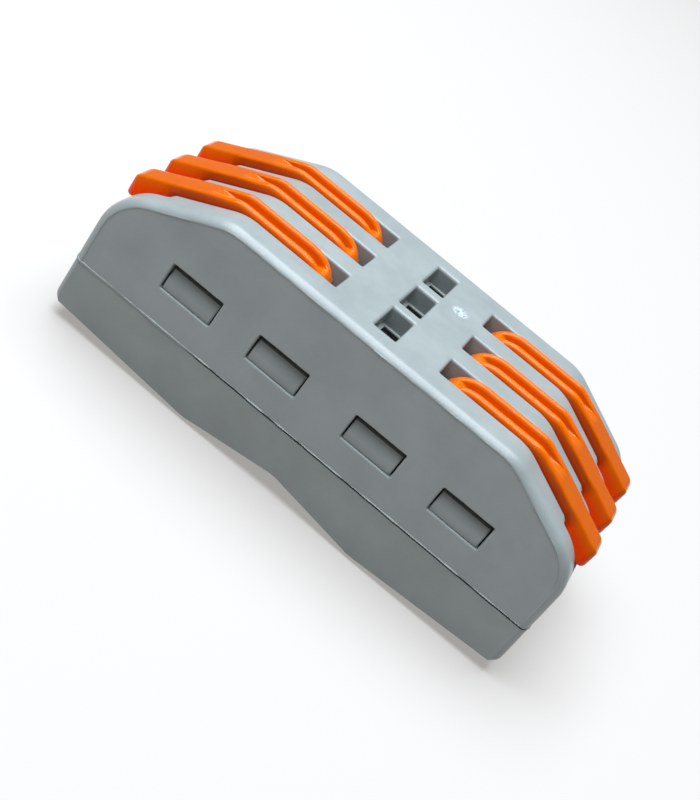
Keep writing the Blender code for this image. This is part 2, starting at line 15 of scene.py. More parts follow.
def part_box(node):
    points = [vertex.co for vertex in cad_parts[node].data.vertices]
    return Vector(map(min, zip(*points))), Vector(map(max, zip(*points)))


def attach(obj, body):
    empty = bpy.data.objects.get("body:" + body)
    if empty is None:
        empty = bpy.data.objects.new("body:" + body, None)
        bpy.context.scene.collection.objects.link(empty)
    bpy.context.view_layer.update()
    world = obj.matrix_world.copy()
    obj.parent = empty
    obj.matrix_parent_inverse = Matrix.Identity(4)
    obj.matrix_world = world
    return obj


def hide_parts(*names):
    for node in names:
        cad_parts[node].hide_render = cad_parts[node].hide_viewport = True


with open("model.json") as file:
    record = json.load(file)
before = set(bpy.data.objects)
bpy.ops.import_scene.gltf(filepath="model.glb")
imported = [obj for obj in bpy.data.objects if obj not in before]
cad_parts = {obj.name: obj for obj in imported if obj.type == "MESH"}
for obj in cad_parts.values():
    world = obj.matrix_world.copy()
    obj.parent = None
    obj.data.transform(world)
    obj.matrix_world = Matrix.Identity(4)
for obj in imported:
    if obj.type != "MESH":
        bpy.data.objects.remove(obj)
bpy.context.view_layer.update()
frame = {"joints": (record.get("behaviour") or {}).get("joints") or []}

TO_METRES = 0.001


def in_mm(vector):
    return Vector(vector) / TO_METRES


def node_box(node):
    low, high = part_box(node)
    return in_mm(low), in_mm(high)


JOINTS = {joint["name"]: joint for joint in frame["joints"]}
PIVOT = in_mm(JOINTS["lever_right_rear_hinge"]["pos_m"])
SPRING_PIVOT = in_mm(JOINTS["clamp_spring_right_rear_flex"]["pos_m"])
PITCH = PIVOT.y
PIVOT_X, PIVOT_Z = PIVOT.x, PIVOT.z
SPRING_X, SPRING_Z = SPRING_PIVOT.x, SPRING_PIVOT.z
POLE_YS = {"front": -PITCH, "middle": 0.0, "rear": PITCH}
END_SIGNS = {"left": -1, "right": 1}
HOUSING_LOW, HOUSING_HIGH = node_box("housing")
BAR_LOW, BAR_HIGH = node_box("current_bar_middle")

# Shell
END_GROWTH = 0.25  # how far the fine shell reaches past the CAD one at each end
HALF_LENGTH = HOUSING_HIGH.x + END_GROWTH
HALF_WIDTH = HOUSING_HIGH.y
TOP_Z = HOUSING_HIGH.z
SEAM_Z = HOUSING_LOW.z
SHOULDER_X = 12.0
SHOULDER_SLOPE = math.tan(math.radians(25.7))
SHOULDER_R = 4.0
END_CORNER_R = 4.0
EDGE_R = 0.95
EDGE_INSET = 0.38
END_EDGE_EXTRA = 0.35
PANEL_DROP = 0.03
BEAD = 0.035
# Rings from the rounded edge to the side panel: (further in, share of bead, share of drop)
PANEL_EDGE = ((0.03, 1.0, 0.0), (0.07, 1.0, 0.0), (0.11, 0.0, 1.0), (0.16, 0.0, 1.0))

# Flash on the seam
FLASH_OUT = 0.055
FLASH_TOP = 0.075
FLASH_HANG = 0.12
FLASH_CLOSED_X = -8.0
FLASH_FADE = 2.5

# Cover
SEAM_GAP = 0.14
COVER_TOP = SEAM_Z - SEAM_GAP
COVER_EDGE_SHARE = 0.35
RIDGE_X = 7.55
RIDGE_HALF_FLAT = 0.5
NOTCH_Z = 1.02
HEEL_Z = 0.75
HEEL_R = 0.7
RECESS_X = (4.0, 14.6)
RECESS_FLOOR = 2.2
RIB_HALF_X = 3.2
RIB_HALF_Y = 1.6
RIB_UNDER_BAR = 0.12

# Moulding gate
GATE_X = 2.6
GATE_Y = 3.0
GATE_R = 0.8

# Lever slots, about each pole
SLOT_HALF = 1.36
SLOT_INNER_X = 4.45
SLOT_RIM_R = 0.22
SLOT_CORNER_R = 0.14
SLOT_END_R = 0.2
SLOT_CLEARANCE = 0.25
TIP_SLOT_HALF = 2.05
TIP_SLOT_X = 16.9
STEP_CORNER_R = 0.32
POCKET_HALF = 1.95
POCKET_INNER_X = 3.6
POCKET_OUTER_X = 14.9
POCKET_CEILING = 12.2
POCKET_END_CEILING = 11.6
BEARING_R = 1.1

# Wire mouths
MOUTH_HALF = 2.1
MOUTH_TOP = 8.65
MOUTH_INNER_X = 15.45
MOUTH_CORNER_R = 0.7
MOUTH_RIM_R = 0.35
THROAT_HALF = 1.5
THROAT_TOP = 7.6

# Test wells between the two rows of levers
WELL_X = (-0.84, 0.94)
WELL_HALF_Y = 1.94
WELL_LEDGE = 12.5
WELL_CORNER_R = 0.12
WELL_RIM_R = 0.28
PROBE_X = (-0.55, 0.87)
PROBE_HALF_Y = 1.75
PROBE_CORNER_R = 0.08
PROBE_RIM_R = 0.08
CHAMBER_TOP = 12.36
CHAMBER_HALF = (2.4, 2.3)
BAR_CHANNEL_HALF = 1.8
BAR_CHANNEL_TOP = 8.1

# Snap windows, and the cover's arms behind them
WINDOW_XS = (4.14, 11.57)
WINDOW_HALF = 2.13
WINDOW_Z = (6.9, 9.0)
WINDOW_CORNER_R = 0.1
WINDOW_RIM_R = 0.15
CHANNEL_Y = (7.4, 8.45)
CHANNEL_TOP = 9.4
ARM_HALF = 2.02
ARM_Y = (7.55, 8.3)
ARM_TOP = 9.15
LUG_FOOT_Y = 9.04
LUG_CREST = (9.12, 7.55)
LUG_CREST_R = 1.6
LUG_TOP = (8.75, 8.53)
LUG_LOW_Z = 6.91

# Lever, about its pivot
ARM_HALF_WIDTH = 1.25
ARM_TOP_Z = 2.48
ARM_UNDER_Z = 0.7
ARM_BEND_X = 5.15
ARM_BEND_R = 2.5
ARM_THICKNESS = 1.5
ARM_SWELL = 0.2
ARM_SWELL_X = 2.6
LEVER_TIP_X = 12.42
TIP_START_X = 8.75
TIP_FLARE_X = 8.95
TIP_FLARE = 1.1
TIP_FOOT_HALF = 1.88
TIP_TOP_HALF = 1.08
TIP_ROUND = 0.65
TIP_BLUNT = 0.58
TIP_CREST_R = 0.2
TIP_CREST_FADE = 2.5
TIP_LEAN = 0.28
TIP_LEAN_FROM = 1.5
TIP_LEAN_FADE = 2.0
RIB_OUTER_R = 0.37
RIB_INNER_R = 0.31
UNDER_EDGE_R = 0.15
GROOVE_HALF = 0.55
GROOVE_FLOOR_R = 0.46
GROOVE_Z = 1.52
GROOVE_FADE = 0.8
GROOVE_END = 141.0
NOSE_END = 205.0
NOSE_STEP = 2.0
HUB_CORE_R = 1.35
TRUNNION_R = 1.0
TRUNNION_HALF = 1.8
OPEN_ANGLE = 95.0
SPRING_RATIO = 0.15
CAM_GAP = 0.13
CAM_START = 270.0 - OPEN_ANGLE * (1.0 + SPRING_RATIO)

# Clamp spring, about its peg
STRIP = 0.35
STRIP_EDGE_R = 0.06
STRIP_HALF_WIDTH = 1.8
CURL_R = 0.5
PEG_R = 0.24
KNEE_X = 8.9
CREST = (13.35, 11.4)
FRONT_X = 14.0
FOOT_Z = 6.3
CAGE_HALF = 1.45
CAGE_Z = (7.1, 10.6)
CAGE_CORNER_R = 0.35

# Current bar
TONGUE_X = 12.9
TONGUE_HALF = 1.3
BAR_EDGE = 0.08

# Colours, in linear light
HOUSING_GREYS = ((0.212, 0.228, 0.227), (0.247, 0.265, 0.263))
COVER_GREYS = ((0.19, 0.202, 0.2), (0.223, 0.237, 0.235))
GATE_WHITE = (0.36, 0.39, 0.4)
ARM_ORANGES = ((0.6, 0.108, 0.0), (0.66, 0.122, 0.001))
TIP_ORANGE = (0.45, 0.077, 0.0)
# Painted shade mixed with the plastic's depth: the darker, redder orange low on the lever's sides
# and end
SHADE_AND_DEPTH_ORANGE = (0.59, 0.036, 0.0)
STEELS = ((0.52, 0.51, 0.49), (0.68, 0.67, 0.65))
TINS = ((0.6, 0.58, 0.54), (0.76, 0.75, 0.71))
FLOOR_COLOUR = (0.3, 0.275, 0.265, 1.0)
FLOOR_GLOW = (1.0, 0.98, 0.95, 1.0)
FLOOR_GLOW_STRENGTH = 0.34
SKY_COLOUR = (0.95, 0.97, 1.0, 1.0)
SKY_STRENGTH = 0.18

# Key light, in metres
KEY_PLACE = (-0.09, 0.02, 0.4)
KEY_TARGET = (0.0, 0.0, 0.005)
KEY_SIZE = (0.5, 0.4)
KEY_POWER = 5.7
KEY_COLOUR = (0.83, 0.935, 1.0)

# Camera, in metres
CAMERA_TARGET = Vector((0.0004, 0.0, 0.0044))
CAMERA_DISTANCE = 0.1068
CAMERA_AZIMUTH = math.radians(-4.2)
CAMERA_ELEVATION = math.radians(29.2)
CAMERA_ROLL = math.radians(37.6)
LENS = 66.23

FINE_ARC = 3.0  # degrees from point to point of a fine arc
OVER = 1.0  # how far a cutting tool reaches past what it cuts

X_WAY = Vector((1.0, 0.0, 0.0))
Y_WAY = Vector((0.0, 1.0, 0.0))
Z_WAY = Vector((0.0, 0.0, 1.0))


# --- outlines -------------------------------------------------------------------------

def polar(radius, degrees):
    angle = math.radians(degrees)
    return Vector((radius * math.cos(angle), radius * math.sin(angle)))


def corner_arc(before, corner, after, radius, step):
    """Points of the arc that rounds one corner of an outline."""
    corner = Vector(corner)
    towards_before = (Vector(before) - corner).normalized()
    towards_after = (Vector(after) - corner).normalized()
    opening = towards_before.angle(towards_after)
    start = corner + towards_before * (radius / math.tan(opening / 2))
    centre_way = (towards_before + towards_after).normalized()
    centre = corner + centre_way * (radius / math.sin(opening / 2))
    turn = math.pi - opening
    steps = max(2, math.ceil(math.degrees(turn) / step))
    sign = 1 if towards_before.cross(towards_after) < 0 else -1
    return [
        centre + Matrix.Rotation(sign * turn * index / steps, 2) @ (start - centre)
        for index in range(steps + 1)
    ]


def rounded(points, closed=True, step=FINE_ARC):
    """Replace each (a, b, radius) corner by its arc, and keep each plain (a, b) point."""
    result = []
    count = len(points)
    for index, point in enumerate(points):
        at_end = not closed and index in (0, count - 1)
        if len(point) == 2 or at_end:
            result.append(Vector(point[:2]))
            continue
        before = points[index - 1][:2]
        after = points[(index + 1) % count][:2]
        result.extend(corner_arc(before, point[:2], after, point[2], step))
    return result


def subdivided(points, longest, closed=True):
    """The same outline with no stretch longer than the given length."""
    result = []
    count = len(points)
    for index in range(count if closed else count - 1):
        start = points[index]
        end = points[(index + 1) % count]
        pieces = max(1, math.ceil((end - start).length / longest))
        result.extend(start.lerp(end, piece / pieces) for piece in range(pieces))
    if not closed:
        result.append(points[-1])
    return result


def outline_normals(points, closed=True):
    """Unit normals to the right of the way the outline runs."""
    normals = []
    count = len(points)
    for index, point in enumerate(points):
        before = points[index - 1] if closed or index > 0 else point
        after = points[(index + 1) % count] if closed or index < count - 1 else point
        back = (point - before).normalized()
        ahead = (after - point).normalized()
        along = (back + ahead).normalized()
        normals.append(Vector((along.y, -along.x)))
    return normals


# --- meshes ---------------------------------------------------------------------------

def object_from(name, shape):
    """Link a new object that holds the bmesh, and free the bmesh."""
    bmesh.ops.recalc_face_normals(shape, faces=shape.faces)
    mesh = bpy.data.meshes.new(name)
    shape.to_mesh(mesh)
    shape.free()
    mesh_object = bpy.data.objects.new(name, mesh)
    bpy.context.scene.collection.objects.link(mesh_object)
    return mesh_object


def loft(name, rings, closed_path=False):
    """A skin over rings of points, capped at both ends unless the path is closed."""
    shape = bmesh.new()
    loops = [[shape.verts.new(point) for point in ring] for ring in rings]
    size = len(loops[0])
    spans = len(loops) if closed_path else len(loops) - 1
    for index in range(spans):
        one = loops[index]
        two = loops[(index + 1) % len(loops)]
        for k in range(size):
            j = (k + 1) % size
            shape.faces.new((one[k], one[j], two[j], two[k]))
    if not closed_path:
        shape.faces.new(loops[0])
        shape.faces.new(loops[-1])
    return object_from(name, shape)


def prism(name, outline, low, high, axis="Y"):
    """An outline extruded between two heights along Y or Z."""
    rings = []
    for height in (low, high):
        if axis == "Y":
            rings.append([(point[0], height, point[1]) for point in outline])
        else:
            rings.append([(point[0], point[1], height) for point in outline])
    return loft(name, rings)


def rectangle(low, high, radius, step=15.0):
    corners = [(low[0], low[1]), (high[0], low[1]), (high[0], high[1]), (low[0], high[1])]
    return rounded([(*corner, radius) for corner in corners], step=step)


def box(name, low, high):
    corners = [(low[0], low[1]), (high[0], low[1]), (high[0], high[1]), (low[0], high[1])]
    return prism(name, corners, low[2], high[2], "Z")


def cross_cylinder(name, radius, half_length, x, z, chamfer=0.0):
    """A cylinder along Y, with a small chamfer at both ends if asked."""
    count = 48
    stations = [(-half_length, radius - chamfer), (half_length, radius - chamfer)]
    if chamfer:
        stations[1:1] = [(-half_length + chamfer, radius), (half_length - chamfer, radius)]
    rings = []
    for y, ring_radius in stations:
        spokes = [polar(ring_radius, 360.0 * index / count) for index in range(count)]
        rings.append([(x + spoke.x, y, z + spoke.y) for spoke in spokes])
    return loft(name, rings)


def repeat(pattern, placements):
    """Rebuild an object's mesh as one separate copy at each placement."""
    shape = bmesh.new()
    for placement in placements:
        copy = pattern.data.copy()
        copy.transform(placement)
        if placement.determinant() < 0:
            copy.flip_normals()
        shape.from_mesh(copy)
        bpy.data.meshes.remove(copy)
    shape.to_mesh(pattern.data)
    shape.free()
    return pattern


def at_poles(both_ends=True):
    scales = (1, -1) if both_ends else (1,)
    return [
        Matrix.Translation((0.0, pole_y, 0.0)) @ Matrix.Diagonal((scale, 1, 1, 1))
        for scale in scales
        for pole_y in POLE_YS.values()
    ]


def at_windows():
    """From a pattern at x = 0 on the +Y side to the eight snap windows."""
    return [
        Matrix.Translation((x_sign * window_x, 0.0, 0.0)) @ Matrix.Diagonal((1, y_sign, 1, 1))
        for window_x in WINDOW_XS
        for x_sign in (1, -1)
        for y_sign in (1, -1)
    ]


def bake(target):
    """Apply an object's modifiers."""
    bpy.context.view_layer.update()
    evaluated = target.evaluated_get(bpy.context.evaluated_depsgraph_get())
    mesh = bpy.data.meshes.new_from_object(evaluated)
    mesh.name = target.name
    target.modifiers.clear()
    target.data = mesh


def boolean(target, tool, operation="DIFFERENCE"):
    """Cut or join a tool into a target at once, and remove the tool."""
    modifier = target.modifiers.new(tool.name, "BOOLEAN")
    modifier.operation = operation
    modifier.solver = "MANIFOLD"
    modifier.object = tool
    bake(target)
    bpy.data.objects.remove(tool, do_unlink=True)
    return target


# --- rims -----------------------------------------------------------------------------

def rim_tool(name, stations, radius, steps=5, closed=True, waver=0.0, seed=0.0):
    """The tool that rounds the rim of a hole.

    A station is a point on the rim, the surface's normal there, and the direction along
    the surface away from the hole. What is cut away is the corner outside a quarter round.
    """
    facet = math.pi / 2 / steps
    rings = []
    for point, normal, outward in stations:
        here = radius * (1.0 + waver * noise.noise(point * 1.3 + Vector((seed, 0.0, 0.0))))
        reach = here * 0.25
        lead = reach * math.tan(facet / 2)
        centre = point + (outward - normal) * here
        ring = [point + outward * (here + reach) + normal * lead]
        for index in range(1, steps):
            angle = facet * index
            ring.append(centre + (normal * math.cos(angle) - outward * math.sin(angle)) * here)
        ring.append(point - normal * (here + reach) - outward * lead)
        ring.append(point + (normal - outward) * reach)
        rings.append(ring)
    return loft(name, rings, closed_path=closed)


def flat_stations(outline, place, normal, right, up, closed=True):
    """Rim stations of a counter-clockwise outline on a flat face."""
    stations = []
    for point, away in zip(outline, outline_normals(outline, closed)):
        world = place + right * point.x + up * point.y
        stations.append((world, normal, right * away.x + up * away.y))
    return stations


# --- housing --------------------------------------------------------------------------

def shoulder_z(x):
    return TOP_Z - (x - SHOULDER_X) * SHOULDER_SLOPE


def lever_top_z(x):
    """Height of the lever's sloping top above its pivot."""
    return ARM_TOP_Z - (x - ARM_BEND_X) * SHOULDER_SLOPE


def slot_floor_z(x):
    drop = ARM_THICKNESS * math.hypot(1.0, SHOULDER_SLOPE)
    return PIVOT_Z + lever_top_z(x - PIVOT_X) - drop - SLOT_CLEARANCE


def right_profile():
    """The shell's outline in XZ from its middle, over the right shoulder, to the seam."""
    outline = rounded([
        (0.0, TOP_Z),
        (SHOULDER_X, TOP_Z, SHOULDER_R),
        (HALF_LENGTH, shoulder_z(HALF_LENGTH), END_CORNER_R),
        (HALF_LENGTH, SEAM_Z),
    ], closed=False)
    return subdivided(outline, 0.5, closed=False)


PROFILE = right_profile()
PROFILE_NORMALS = [-normal for normal in outline_normals(PROFILE, closed=False)]


def on_profile(distance):
    """Point and outward normal at a distance along the profile from its middle."""
    last = len(PROFILE) - 2
    for index in range(last + 1):
        length = (PROFILE[index + 1] - PROFILE[index]).length
        if distance <= length or index == last:
            share = distance / length
            normal = PROFILE_NORMALS[index].lerp(PROFILE_NORMALS[index + 1], share)
            return PROFILE[index].lerp(PROFILE[index + 1], share), normal.normalized()
        distance -= length


def profile_distance(reached):
    """How far along the profile its point first meets a condition."""
    travelled = 0.0
    step = 0.01
    while not reached(on_profile(travelled)[0]):
        travelled += step
    return travelled


def shell_edge():
    """(inset, y) of the rings that round the shell's long edges, from the top inwards."""
    sweep = math.acos(1.0 - EDGE_INSET / EDGE_R)
    reach = EDGE_R * math.sin(sweep)
    steps = 8
    edge = []
    for index in range(steps + 1):
        angle = sweep * index / steps
        inset = EDGE_R * (1.0 - math.cos(angle))
        edge.append((inset, HALF_WIDTH - reach + EDGE_R * math.sin(angle)))
    return edge


def end_share(normal, base=1.0):
    """How much of the edge's inset applies at a point of an outline: more at the ends."""
    return base + (1.0 + END_EDGE_EXTRA - base) * abs(normal.x)


def bead_height(point):
    """The parting line's bead: mostly faint, with a few heavier stretches."""
    wave = noise.noise(Vector((point.x * 0.55, point.y * 0.55, 3.0)))
    fine = noise.noise(Vector((point.x * 2.3, point.y * 2.3, 7.0)))
    return BEAD * max(0.12, 0.55 + 0.9 * wave + 0.5 * fine)


def housing_blank():
    """The solid shell: its outline carried across Y, with rounded edges and a faint bead."""
    right = list(zip(PROFILE, PROFILE_NORMALS))
    left = [(Vector((-p.x, p.y)), Vector((-n.x, n.y))) for p, n in reversed(right[1:])]
    outline = left + right
    stations = [(inset, y, 0.0) for inset, y in shell_edge()]
    for further, bead, drop in PANEL_EDGE:
        stations.append((EDGE_INSET + further, HALF_WIDTH - PANEL_DROP * drop, bead))
    rings = []
    for inset, y, bead in stations:
        ring = []
        for p, n in outline:
            reach = inset * end_share(n)
            ring.append((p.x - n.x * reach, y + bead * bead_height(p), p.y - n.y * reach))
        rings.append(ring)
    mirrored = [[(x, -y, z) for x, y, z in ring] for ring in reversed(rings)]
    return loft("housing_shell", mirrored + rings)


def cut_pockets(housing):
    """The room for each lever's hub and spring, its bearings, and the bars' channels."""
    outline = rounded([
        (POCKET_INNER_X, SEAM_Z - OVER),
        (POCKET_OUTER_X, SEAM_Z - OVER),
        (POCKET_OUTER_X, POCKET_END_CEILING, 0.3),
        (POCKET_OUTER_X - 2.0, POCKET_CEILING, 0.5),
        (POCKET_INNER_X, POCKET_CEILING, 1.0),
    ], step=10.0)
    pocket = prism("pocket", outline, -POCKET_HALF, POCKET_HALF)
    boolean(housing, repeat(pocket, at_poles()))
    bearing = cross_cylinder("bearing", BEARING_R, POCKET_HALF - 0.01, PIVOT_X, PIVOT_Z)
    boolean(housing, repeat(bearing, at_poles()))
    channel = box(
        "bar_channel",
        (-POCKET_INNER_X - 0.1, -BAR_CHANNEL_HALF, SEAM_Z - OVER),
        (POCKET_INNER_X + 0.1, BAR_CHANNEL_HALF, BAR_CHANNEL_TOP),
    )
    boolean(housing, repeat(channel, at_poles(False)))


def slot_opening():
    """The lever slot's rim as (distance along the profile, y), about its pole."""
    step = profile_distance(lambda point: point.x >= TIP_SLOT_X)
    floor_z = slot_floor_z(HALF_LENGTH)
    outer = profile_distance(lambda point: point.x > TIP_SLOT_X and point.y <= floor_z)
    outline = rounded([
        (SLOT_INNER_X, -SLOT_HALF, SLOT_CORNER_R),
        (step, -SLOT_HALF, STEP_CORNER_R),
        (step, -TIP_SLOT_HALF, STEP_CORNER_R),
        (outer, -TIP_SLOT_HALF, SLOT_END_R),
        (outer, TIP_SLOT_HALF, SLOT_END_R),
        (step, TIP_SLOT_HALF, STEP_CORNER_R),
        (step, SLOT_HALF, STEP_CORNER_R),
        (SLOT_INNER_X, SLOT_HALF, SLOT_CORNER_R),
    ], step=15.0)
    return subdivided(outline, 0.3)


def cut_lever_slots(housing):
    """The open slots that the levers lie in, wider where their tips flare."""
    opening = slot_opening()
    stations = []
    plan = []
    for point, away in zip(opening, outline_normals(opening)):
        place, normal = on_profile(point.x)
        surface = Vector((normal.x, 0.0, normal.y))
        along = Vector((normal.y, 0.0, -normal.x))
        world = Vector((place.x, point.y, place.y))
        stations.append((world, surface, along * away.x + Y_WAY * away.y))
        if place.x < HALF_LENGTH - 0.05:
            plan.append((place.x, point.y))
    outer_x = HALF_LENGTH + OVER
    last = max(range(len(plan)), key=lambda index: plan[index][0] - plan[index][1])
    plan[last + 1:last + 1] = [(outer_x, -TIP_SLOT_HALF), (outer_x, TIP_SLOT_HALF)]
    above = TOP_Z + OVER
    shelf_x = POCKET_OUTER_X - 0.2
    in_pocket = POCKET_END_CEILING - 0.2
    side = [
        (SLOT_INNER_X - OVER, in_pocket),
        (shelf_x, in_pocket),
        (shelf_x, slot_floor_z(shelf_x)),
        (outer_x + OVER, slot_floor_z(outer_x + OVER)),
        (outer_x + OVER, above),
        (SLOT_INNER_X - OVER, above),
    ]
    slot = prism("lever_slot", plan, SEAM_Z, above + OVER, "Z")
    reach = TIP_SLOT_HALF + OVER
    boolean(slot, prism("slot_floor", side, -reach, reach), "INTERSECT")
    boolean(housing, repeat(slot, at_poles()))
    rim = rim_tool("slot_rim", stations, SLOT_RIM_R)
    boolean(housing, repeat(rim, at_poles()))


def cut_wire_mouths(housing):
    """The arched wire entries, each with a throat that narrows towards its clamp."""
    corners = [
        (MOUTH_HALF, SEAM_Z - OVER),
        (MOUTH_HALF, MOUTH_TOP, MOUTH_CORNER_R),
        (-MOUTH_HALF, MOUTH_TOP, MOUTH_CORNER_R),
        (-MOUTH_HALF, SEAM_Z - OVER),
    ]
    arch = rounded(corners, closed=False, step=10.0)
    outside = HALF_LENGTH + OVER
    rings = [[(x, point.x, point.y) for point in arch] for x in (MOUTH_INNER_X, outside)]
    boolean(housing, repeat(loft("mouth", rings), at_poles()))
    throat_y = THROAT_HALF / MOUTH_HALF
    throat_z = (THROAT_TOP - SEAM_Z) / (MOUTH_TOP - SEAM_Z)
    rings = []
    for x, share in ((POCKET_OUTER_X - 0.3, 0.0), (MOUTH_INNER_X + 0.15, 1.0)):
        wide = throat_y + (1.0 - throat_y) * share
        tall = throat_z + (1.0 - throat_z) * share
        rings.append([(x, p.x * wide, SEAM_Z + (p.y - SEAM_Z) * tall) for p in arch])
    boolean(housing, repeat(loft("throat", rings), at_poles()))
    stations = flat_stations(
        arch, Vector((HALF_LENGTH, 0.0, 0.0)), X_WAY, Y_WAY, Z_WAY, closed=False
    )
    rim = rim_tool("mouth_rim", stations, MOUTH_RIM_R, closed=False)
    boolean(housing, repeat(rim, at_poles()))


def cut_test_wells(housing):
    """The three wells on the top, with a ledge and a smaller hole down to the bar."""
    well = rectangle((WELL_X[0], -WELL_HALF_Y), (WELL_X[1], WELL_HALF_Y), WELL_CORNER_R)
    opening = prism("well", well, WELL_LEDGE, TOP_Z + OVER, "Z")
    boolean(housing, repeat(opening, at_poles(False)))
    stations = flat_stations(well, Z_WAY * TOP_Z, Z_WAY, X_WAY, Y_WAY)
    boolean(housing, repeat(rim_tool("well_rim", stations, WELL_RIM_R), at_poles(False)))
    hole = rectangle((PROBE_X[0], -PROBE_HALF_Y), (PROBE_X[1], PROBE_HALF_Y), PROBE_CORNER_R)
    probe = prism("probe_hole", hole, CHAMBER_TOP - 0.5, WELL_LEDGE + 0.5, "Z")
    boolean(housing, repeat(probe, at_poles(False)))
    chamber = box(
        "probe_chamber",
        (-CHAMBER_HALF[0], -CHAMBER_HALF[1], BAR_CHANNEL_TOP - 0.5),
        (CHAMBER_HALF[0], CHAMBER_HALF[1], CHAMBER_TOP),
    )
    boolean(housing, repeat(chamber, at_poles(False)))
    stations = flat_stations(hole, Z_WAY * WELL_LEDGE, Z_WAY, X_WAY, Y_WAY)
    rim = rim_tool("probe_rim", stations, PROBE_RIM_R, steps=3)
    boolean(housing, repeat(rim, at_poles(False)))


def cut_snap_windows(housing):
    """The eight side windows and the channels in which the cover's arms rise to them."""
    channel = box(
        "snap_channel",
        (-WINDOW_HALF, CHANNEL_Y[0], SEAM_Z - OVER),
        (WINDOW_HALF, CHANNEL_Y[1], CHANNEL_TOP),
    )
    boolean(housing, repeat(channel, at_windows()))
    low, high = (-WINDOW_HALF, WINDOW_Z[0]), (WINDOW_HALF, WINDOW_Z[1])
    outline = rectangle(low, high, WINDOW_CORNER_R)
    window = prism("snap_window", outline, CHANNEL_Y[1] - 0.3, HALF_WIDTH + OVER)
    boolean(housing, repeat(window, at_windows()))
    panel = Y_WAY * (HALF_WIDTH - PANEL_DROP)
    stations = flat_stations(subdivided(outline, 0.4), panel, Y_WAY, X_WAY, Z_WAY)
    rim = rim_tool("window_rim", stations, WINDOW_RIM_R, steps=4, waver=0.4)
    boolean(housing, repeat(rim, at_windows()))


def seam_outline():
    """The shell's plan at the seam, counter-clockwise, with its rounded corners."""
    corner = [Vector((HALF_LENGTH - inset * end_share(X_WAY), y)) for inset, y in shell_edge()]
    corner[-1].y = HALF_WIDTH - PANEL_DROP
    front = [Vector((p.x, -p.y)) for p in reversed(corner)]
    right = front + corner
    left = [Vector((-p.x, -p.y)) for p in right]
    return subdivided(right + left, 0.35)


def seam_stations(z, away):
    """Rim stations round the shell at a height, for an edge that lies away from the gap."""
    outline = seam_outline()
    return [
        (Vector((point.x, point.y, z)), Vector((normal.x, normal.y, 0.0)), away)
        for point, normal in zip(outline, outline_normals(outline))
    ]


def seam_flash():
    """An irregular bead of flash round the shell, which hides the seam's gap at the left end."""
    outline = seam_outline()
    rings = []
    for point, normal in zip(outline, outline_normals(outline)):
        wave = noise.noise(Vector((point.x * 0.8 + 2.0, point.y * 0.8, 2.0)))
        fine = noise.noise(Vector((point.x * 3.1, point.y * 3.1, 6.0)))
        out = FLASH_OUT * max(0.5, 0.9 + 0.7 * wave + 0.4 * fine)
        top = FLASH_TOP * max(0.5, 0.9 + 0.8 * wave + 0.5 * fine)
        closed = smooth_step((FLASH_CLOSED_X - point.x) / FLASH_FADE)
        hang = FLASH_HANG * max(closed, 0.25 * smooth_step(3.0 * wave))
        section = ((-0.1, -hang), (out, -hang), (out, 0.01), (-0.05, top))
        rings.append([
            (point.x + normal.x * push, point.y + normal.y * push, SEAM_Z + rise)
            for push, rise in section
        ])
    return loft("seam_flash", rings, closed_path=True)


def add_spring_pegs(housing):
    half_length = PITCH + POCKET_HALF + 0.2
    peg = cross_cylinder("spring_pegs", PEG_R, half_length, SPRING_X, SPRING_Z)
    boolean(housing, repeat(peg, [Matrix.Identity(4), Matrix.Diagonal((-1, 1, 1, 1))]), "UNION")


def add_gate_mark(housing):
    """The moulding gate on the top: a broken-off nub with a lumpy, rough face."""
    centre = Vector((GATE_X, GATE_Y, TOP_Z))
    levels, spokes = 8, 48
    rings = []
    for level in range(levels + 1):
        share = level / levels
        ring = []
        for index in range(spokes):
            way = polar(1.0, 360.0 / spokes * index)
            edge = GATE_R * (1.0 + 0.22 * noise.noise(Vector((way.x * 1.3, way.y * 1.3, 2.0))))
            spoke = way * edge * math.sqrt(max(0.004, 1.0 - share * share * 0.996))
            lump = noise.noise(Vector((spoke.x * 6.0, spoke.y * 6.0, 5.0)))
            height = -0.1 + share * (0.17 + 0.2 * lump)
            ring.append(centre + Vector((spoke.x * 0.85, spoke.y, height)))
        rings.append(ring)
    boolean(housing, loft("gate_nub", rings), "UNION")


def build_housing():
    housing = housing_blank()
    cut_pockets(housing)
    cut_lever_slots(housing)
    cut_wire_mouths(housing)
    cut_test_wells(housing)
    cut_snap_windows(housing)
    boolean(housing, seam_flash(), "UNION")
    add_spring_pegs(housing)
    add_gate_mark(housing)
    return housing


# --- base cover -----------------------------------------------------------------------

def cover_blank():
    """The solid cover: two ridges to stand on, and the shell's rounded long edges."""
    right = [
        (HALF_LENGTH, COVER_TOP),
        (HALF_LENGTH, HEEL_Z, HEEL_R),
        (RIDGE_X + RIDGE_HALF_FLAT, 0.0, 0.4),
        (RIDGE_X - RIDGE_HALF_FLAT, 0.0, 0.4),
    ]
    left = [(-point[0], *point[1:]) for point in reversed(right)]
    outline = rounded(right + [(0.0, NOTCH_Z, 1.2)] + left, step=6.0)
    outline.reverse()
    normals = outline_normals(outline)
    top_corners = [index for index, point in enumerate(outline) if point.y > COVER_TOP - 0.001]
    for index in top_corners:
        normals[index] = Vector((math.copysign(1.0, outline[index].x), 0.0))
    edge = shell_edge()
    edge[-1] = (edge[-1][0], HALF_WIDTH - PANEL_DROP)
    rings = []
    for inset, y in edge:
        ring = []
        for point, normal in zip(outline, normals):
            reach = inset * end_share(normal, COVER_EDGE_SHARE)
            ring.append((point.x - normal.x * reach, y, point.y - normal.y * reach))
        rings.append(ring)
    mirrored = [[(x, -y, z) for x, y, z in ring] for ring in reversed(rings)]
    return loft("base_shell", mirrored + rings)


